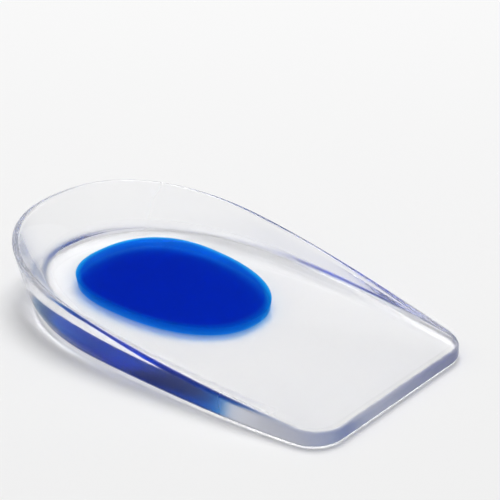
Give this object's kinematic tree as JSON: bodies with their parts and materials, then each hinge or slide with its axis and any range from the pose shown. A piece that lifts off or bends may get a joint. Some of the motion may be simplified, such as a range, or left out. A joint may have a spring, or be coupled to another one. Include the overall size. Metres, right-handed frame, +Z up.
{
  "type": "silicone heel spur insole",
  "caption": "Clear silicone heel cup with a flared rim and a soft blue egg-shaped plug set in its floor, worn in a shoe under a sore heel.",
  "frame": {"origin": "on the surface it rests on, under the middle of the insole", "axes": "+X from heel to toe, +Y to the left of the wearer's walking direction, +Z up"},
  "size_m": [0.107, 0.0664, 0.0175],
  "materials": {
    "clear_silicone": "clear, glossy moulded silicone",
    "blue_gel": "glossy translucent blue silicone gel"
  },
  "bodies": {
    "root": {"heel_cup": "clear_silicone", "soft_plug": "blue_gel"}
  },
  "joints": []
}
